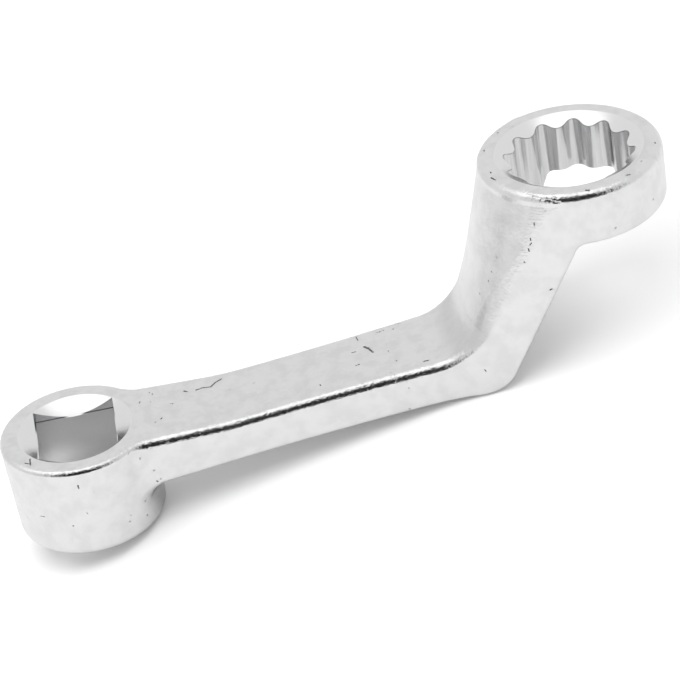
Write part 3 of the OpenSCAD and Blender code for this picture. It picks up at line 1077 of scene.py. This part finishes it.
# Shares of the relief, its height in millimetres, and how the roughness varies and rises in pits
PEEL, GRAIN, RIPPLE, RAGGED, SUNK = 0.5, 0.34, 0.6, 0.95, 0.3
SKIN_RELIEF, ROUGH_SPREAD, PIT_ROUGH = 0.1, 0.1, 0.4


def plated_forging():
    """Bright plating over the blasted skin of the forging, with small pits, and painted shade in the inner
    bend.
    """
    f = bpy.context.scene.finish_settings
    material, sh = new_material("plated_forging")
    peel = sh.noise(0.5, detail=2.0)
    grain = sh.noise(2.4, detail=4.0, rough=0.6)
    patch = sh.noise(0.35, detail=4.0, rough=0.6)
    where = sh.noise(0.06, detail=2.0, shift=(5, 5, 5))
    speck, kind = sh.cells(0.5)
    chosen = kind.step(*PITTED_CELL) * where.step(*PITTED_PATCH)
    pit = (1 - (speck + grain * PIT_UNEVEN).step(*PIT_EDGE)) * chosen
    mark = (sh.attribute("worn") + (grain - 0.5) * MARK_UNEVEN).step(*MARK_EDGE)
    dark = (pit * PIT_DARK).maximum(mark * MARK_DARK)
    rippled = sh.attribute("rippled").step(*RIPPLED_AT)
    ripple = sh.noise(1.6, detail=3.0, stretch=(0.4, 0.4, 1.5)) * rippled
    ragged = sh.noise(2.0, detail=3.0, rough=0.6) * sh.attribute("rims")
    tone = sh.mix(patch.step(*CLOUD), rgba(f.plate, CLEAN), rgba(f.plate, CLOUDED))
    # Painted shade: the inner bend's plating is mixed towards a darker tone
    tone = sh.mix(sh.attribute("crook_shade") * CROOK_SHADE_SHARE, tone, rgba(f.plate, CROOK_SHADE_TONE))
    colour = sh.mix(dark, tone, rgba(f.pit))
    roughness = (grain - 0.5) * ROUGH_SPREAD + f.roughness + dark * PIT_ROUGH
    height = peel * PEEL + grain * GRAIN + ripple * RIPPLE + ragged * RAGGED - dark * SUNK
    sh.metal(colour, roughness, height, SKIN_RELIEF)
    return material


# The machined faces: their brightness and roughness beside the skin's, and their relief
FRESH, MACHINED_ROUGH, CHAMFER_RELIEF, WALL_RELIEF = 1.04, 1.3, 0.006, 0.005
# Brightness of the broach's dark and light lines and of its streaks, and where these set in
LINE_DARK, LINE_LIGHT, STREAKED = 0.72, 0.93, 0.84
LINES_AT, STREAKS_AT = (0.35, 0.65), (0.3, 0.7)
# Shares of the walls' relief
LINE_DEEP, SPECK_DEEP = 0.5, 0.3
# The dark broken line just below the entry chamfer: its depth in millimetres, how broken and uneven it is,
# and how dark
RIM_LINE_DEPTH, RIM_LINE_BROKEN, RIM_LINE_UNEVEN, RIM_LINE_DARK = (0.06, 0.2), (0.5, 0.62), 0.4, 0.75
# Millimetres above the boss over which the square's bright walls give way to lined ones
WALLS_CHANGE = 2.0


def turned_chamfer():
    """The plated chamfers that lead into the openings."""
    f = bpy.context.scene.finish_settings
    material, sh = new_material("turned_chamfer")
    speck = sh.noise(1.1, detail=3.0)
    roughness = (speck - 0.5) * ROUGH_SPREAD + f.roughness * MACHINED_ROUGH
    sh.metal(rgba(f.plate, FRESH), roughness, speck, CHAMFER_RELIEF)
    return material


def broached_wall():
    """The plated walls of the openings, with the broach's fine lines and a dark broken line just below the
    entry chamfer.
    """
    f, s = bpy.context.scene.finish_settings, sizes()
    material, sh = new_material("broached_wall")
    lines = sh.noise(3.2, detail=3.0, stretch=(1, 1, 0.03))
    speck = sh.noise(1.1, detail=3.0)
    streak = sh.noise(0.9, detail=2.0, stretch=(1, 1, 0.2))
    x, y, z = sh.split(sh.place())
    reach = sh.node("ShaderNodeMath", {"operation": "SQRT"}, [(x - s.ring_x) * (x - s.ring_x) + y * y])
    depth = (s.ring_top - z) - (entry_radius() - reach) * tan(openings().entry_angle)
    # A dark broken line is painted on the walls just below the rim of the entry chamfer
    dark_rim_line = (1 - depth.step(*RIM_LINE_DEPTH)) * (speck + lines * RIM_LINE_UNEVEN).step(*RIM_LINE_BROKEN)
    tone = sh.mix(lines.step(*LINES_AT), rgba(f.plate, LINE_DARK), rgba(f.plate, LINE_LIGHT))
    tone = sh.mix(streak.step(*STREAKS_AT), tone, rgba(f.plate, STREAKED))
    tone = sh.mix(z.step(s.boss_h, s.boss_h + WALLS_CHANGE), rgba(f.plate, FRESH), tone)
    tone = sh.mix(dark_rim_line * RIM_LINE_DARK, tone, rgba(f.pit))
    roughness = (speck - 0.5) * ROUGH_SPREAD + f.roughness * MACHINED_ROUGH
    sh.metal(tone, roughness, lines * LINE_DEEP + speck * SPECK_DEEP, WALL_RELIEF)
    return material


def finishes():
    """The materials of skin, chamfers and walls, made once for all the pieces."""
    makers = (plated_forging, turned_chamfer, broached_wall)
    return [bpy.data.materials.get(make.__name__) or make() for make in makers]


# Operators


FORWARD, BACK, UP, DOWN = (1, 0, 0), (-1, 0, 0), (0, 0, 1), (0, 0, -1)


def marked_forging():
    """The forging with its marks, as its regions are cut from the blank."""
    forging = Forging(sizes())
    forging.add_marks()
    return forging


class WRENCH_OT_blank(bpy.types.Operator):
    """Build the whole forging before machining, as one blank"""

    bl_idname = "wrench.blank"
    bl_label = "Blank"

    def execute(self, context):
        build_blank(Forging(sizes()))
        return {"FINISHED"}


class WRENCH_OT_drive_boss(bpy.types.Operator):
    """Cut the boss from the blank, with its square opening"""

    bl_idname = "wrench.drive_boss"
    bl_label = "Drive boss"

    def execute(self, context):
        forging = marked_forging()
        boss = cut_region("drive_boss", [(forging.neck_plane, FORWARD)])
        cut_square(boss)
        finish_piece(boss, forging, "drive_boss")
        return {"FINISHED"}


class WRENCH_OT_shank(bpy.types.Operator):
    """Cut the shank from the blank"""

    bl_idname = "wrench.shank"
    bl_label = "Shank"

    def execute(self, context):
        forging = marked_forging()
        shank = cut_region("shank", [(forging.neck_plane, BACK), (forging.bend_plane, FORWARD)])
        finish_piece(shank, forging, "shank")
        return {"FINISHED"}


class WRENCH_OT_crank_arm(bpy.types.Operator):
    """Cut the bend and the arm from the blank, with the end of the twelve-point opening"""

    bl_idname = "wrench.crank_arm"
    bl_label = "Crank arm"

    def execute(self, context):
        forging = marked_forging()
        arm = cut_region("crank_arm", [(forging.bend_plane, BACK), (forging.ring_plane, UP)])
        cut_twelve_point(arm)
        finish_piece(arm, forging, "crank_arm")
        return {"FINISHED"}


class WRENCH_OT_ring_head(bpy.types.Operator):
    """Cut the ring from the blank, with its twelve-point opening and entry chamfer"""

    bl_idname = "wrench.ring_head"
    bl_label = "Ring head"

    def execute(self, context):
        forging = marked_forging()
        ring = cut_region("ring_head", [(forging.ring_plane, DOWN)])
        cut_twelve_point(ring)
        cut_entry(ring)
        finish_piece(ring, forging, "ring_head")
        return {"FINISHED"}


class WRENCH_OT_clear_blank(bpy.types.Operator):
    """Take the blank away once its regions are cut"""

    bl_idname = "wrench.clear_blank"
    bl_label = "Clear the blank"

    def execute(self, context):
        drop(bpy.data.objects["blank"])
        return {"FINISHED"}


# The studio, with lengths in metres and angles in degrees. The tool rests on the floor
# tilted by an angle between these two, and the camera sees no nearer and no farther
LEAST_TILT, MOST_TILT = 5.0, 30.0
CLIP_NEAR, CLIP_FAR = 0.01, 50.0
# The floor: its radius and sides, its white, its glow for the camera, how much of it the
# plating mirrors as black, and the distances over which its mirror image becomes wall
FLOOR_R, FLOOR_SIDES = 2.0, 64
FLOOR_WHITE, FLOOR_GLOW, FLOOR_BLACK, FLOOR_TO_WALL = 0.85, 0.08, 0.1, (0.05, 0.4)
# The dark side: how far it is turned aside, its soft rim, its blackness and its shade's reach
DARK_ASIDE, DARK_RIM, DARK_BLACK, SHADE_REACH = 4.0, (0.88, 1.12), 0.98, (0.9, 4.5)
# The softbox that the plating mirrors: its shift, narrowness and soft rim, and how near to
# the horizon its shape is still worked out
BOX_SHIFT, BOX_NARROW, BOX_RIM, LEAST_RISE = 0.05, (1.2, 6.0), (0.4, 1.2), 0.05
# The lamp: how its aim leans from upright, its distance, and the place over which it hangs
LAMP_LEAN, LAMP_AWAY, LAMP_OVER = (0.0, -0.25, 0.0), 0.75, (0.045, 0.0, 0.0)
WHITE = (1, 1, 1, 1)


def resting_plane():
    """The floor that the tool rests on, as its upward normal and its distance from the origin."""
    boss = points_of(bpy.data.objects["drive_boss_dressed"].data)
    arm = points_of(bpy.data.objects["crank_arm_dressed"].data)
    low, high = LEAST_TILT, MOST_TILT
    for _ in range(HALVINGS):
        tilt = (low + high) / 2
        normal = np.array([-sin(tilt), 0, cos(tilt)])
        if (boss @ normal).min() < (arm @ normal).min():
            low = tilt
        else:
            high = tilt
    return normal, (boss @ normal).min()


class WRENCH_OT_stage(bpy.types.Operator):
    """Set up the camera, the floor, the white room and its dark side"""

    bl_idname = "wrench.stage"
    bl_label = "Studio"

    def execute(self, context):
        scene = context.scene
        normal, level = resting_plane()
        self.add_camera(scene)
        self.add_floor(scene, normal, level)
        self.add_room(scene, normal)
        self.add_softbox(scene, normal)
        scene.view_settings.view_transform = "Standard"
        return {"FINISHED"}

    def add_camera(self, scene):
        data = bpy.data.cameras.new("camera")
        data.lens, data.sensor_width, data.sensor_fit = CAMERA_LENS, SENSOR, "HORIZONTAL"
        data.clip_start, data.clip_end = CLIP_NEAR, CLIP_FAR
        camera = bpy.data.objects.new("camera", data)
        place = Matrix((CAMERA_RIGHT, CAMERA_UP, CAMERA_BACK)).transposed().to_4x4()
        place.translation = Vector(CAMERA_AT) * MM
        camera.matrix_world = place
        scene.collection.objects.link(camera)
        scene.camera = camera

    def add_floor(self, scene, normal, level):
        bm = bmesh.new()
        turn = Vector((0, 0, 1)).rotation_difference(Vector(normal)).to_matrix().to_4x4()
        centre = Matrix.Translation(Vector(normal) * level) @ turn
        bmesh.ops.create_circle(bm, cap_ends=True, segments=FLOOR_SIDES, radius=FLOOR_R, matrix=centre)
        floor = new_mesh_object("floor", bm)
        material, sh = new_material("white_floor")
        far = sh.node("ShaderNodeVectorMath", {"operation": "LENGTH"}, [sh.place(MM)], out="Value")
        seen = sh.node("ShaderNodeLightPath", out="Is Camera Ray")
        mirrored = sh.output(seen, "Is Glossy Ray")
        matt = sh.node("ShaderNodeBsdfDiffuse", values={"Color": rgba((FLOOR_WHITE,) * 3)})
        glow = sh.node("ShaderNodeEmission", values={"Color": WHITE, "Strength": seen * FLOOR_GLOW})
        bright = sh.node("ShaderNodeAddShader", values=[matt, glow])
        black = sh.node("ShaderNodeEmission", values={"Strength": 0.0})
        near = sh.node("ShaderNodeMixShader", values=[mirrored * FLOOR_BLACK, bright, black])
        wall = sh.node("ShaderNodeEmission", values={"Color": WHITE, "Strength": scene.stage_settings.wall})
        share = far.step(*FLOOR_TO_WALL) * mirrored
        both = sh.node("ShaderNodeMixShader", values=[share, near, wall])
        sh.node("ShaderNodeOutputMaterial", values={"Surface": both})
        floor.data.materials.append(material)

    def add_room(self, scene, normal):
        st = scene.stage_settings
        world = bpy.data.worlds.new("white_room")
        scene.world = world
        world.use_nodes = True
        sh = Shader(world.node_tree)
        direction = sh.node("ShaderNodeTexCoord", out="Generated")
        tilt = math.asin(-normal[0])
        level_up = sh.node("ShaderNodeMapping", values={"Vector": direction, "Rotation": (0, tilt, 0)})
        x, y, z = sh.split(level_up)
        rise = sh.node("ShaderNodeMath", {"operation": "ARCSINE"}, [z]) * (180 / math.pi)
        side = sh.node("ShaderNodeMath", {"operation": "ARCTAN2"}, [x, y * -1.0]) * (180 / math.pi)
        across, up = (side - DARK_ASIDE) / st.dark_width, (rise - st.dark_middle) / st.dark_height
        away = across * across + up * up
        dark = 1 - away.step(*DARK_RIM)
        left, front = (axis / z.maximum(LEAST_RISE) + BOX_SHIFT for axis in (x, y))
        lit = 1 - (left * left * BOX_NARROW[0] + front * front * BOX_NARROW[1]).step(*BOX_RIM)
        tone = lit * (st.ceiling - st.wall) + st.wall
        shaded = 1 - (1 - away.step(*SHADE_REACH)) * st.shade
        image = tone * (1 - dark * DARK_BLACK) * shaded
        seen = sh.node("ShaderNodeLightPath", out="Is Camera Ray")
        mirrored = sh.output(seen, "Is Glossy Ray")
        level = seen + (1 - seen) * (mirrored * image + (1 - mirrored) * st.room)
        glow = sh.node("ShaderNodeBackground", values={"Color": WHITE, "Strength": level})
        sh.node("ShaderNodeOutputWorld", values={"Surface": glow})

    def add_softbox(self, scene, normal):
        lamp = bpy.data.lights.new("softbox", "AREA")
        lamp.shape, lamp.size = "DISK", scene.stage_settings.softbox_size
        lamp.energy = scene.stage_settings.softbox
        softbox = bpy.data.objects.new("softbox", lamp)
        aim = (Vector(normal) + Vector(LAMP_LEAN)).normalized()
        place = aim.to_track_quat("Z", "Y").to_matrix().to_4x4()
        place.translation = aim * LAMP_AWAY + Vector(LAMP_OVER)
        softbox.matrix_world = place
        softbox.visible_glossy = False
        scene.collection.objects.link(softbox)


class WRENCH_PT_panel(bpy.types.Panel):
    """The wrench's pieces and settings"""

    bl_idname = "WRENCH_PT_panel"
    bl_label = "Camber adjustment wrench"
    bl_space_type = "VIEW_3D"
    bl_region_type = "UI"
    bl_category = "Wrench"

    def draw(self, context):
        for operator in OPERATORS:
            self.layout.operator(operator.bl_idname)
        for group in GROUPS:
            settings = getattr(context.scene, group)
            for name in settings.bl_rna.properties.keys():
                if name not in ("rna_type", "name"):
                    self.layout.prop(settings, name)


OPERATORS = (
    WRENCH_OT_blank,
    WRENCH_OT_drive_boss,
    WRENCH_OT_shank,
    WRENCH_OT_crank_arm,
    WRENCH_OT_ring_head,
    WRENCH_OT_clear_blank,
    WRENCH_OT_stage,
)
GROUPS = {
    "forging_sizes": ForgingSizes,
    "opening_sizes": OpeningSizes,
    "finish_settings": FinishSettings,
    "stage_settings": StageSettings,
}


def register():
    for group, cls in GROUPS.items():
        bpy.utils.register_class(cls)
        setattr(bpy.types.Scene, group, PointerProperty(type=cls))
    for cls in (*OPERATORS, WRENCH_PT_panel):
        bpy.utils.register_class(cls)


def unregister():
    for cls in (WRENCH_PT_panel, *reversed(OPERATORS)):
        bpy.utils.unregister_class(cls)
    for group, cls in reversed(list(GROUPS.items())):
        delattr(bpy.types.Scene, group)
        bpy.utils.unregister_class(cls)


def main():
    register()
    bpy.ops.wrench.blank()
    bpy.ops.wrench.drive_boss()
    bpy.ops.wrench.shank()
    bpy.ops.wrench.crank_arm()
    bpy.ops.wrench.ring_head()
    bpy.ops.wrench.clear_blank()
    bpy.ops.wrench.stage()


if __name__ == "__main__":
    main()
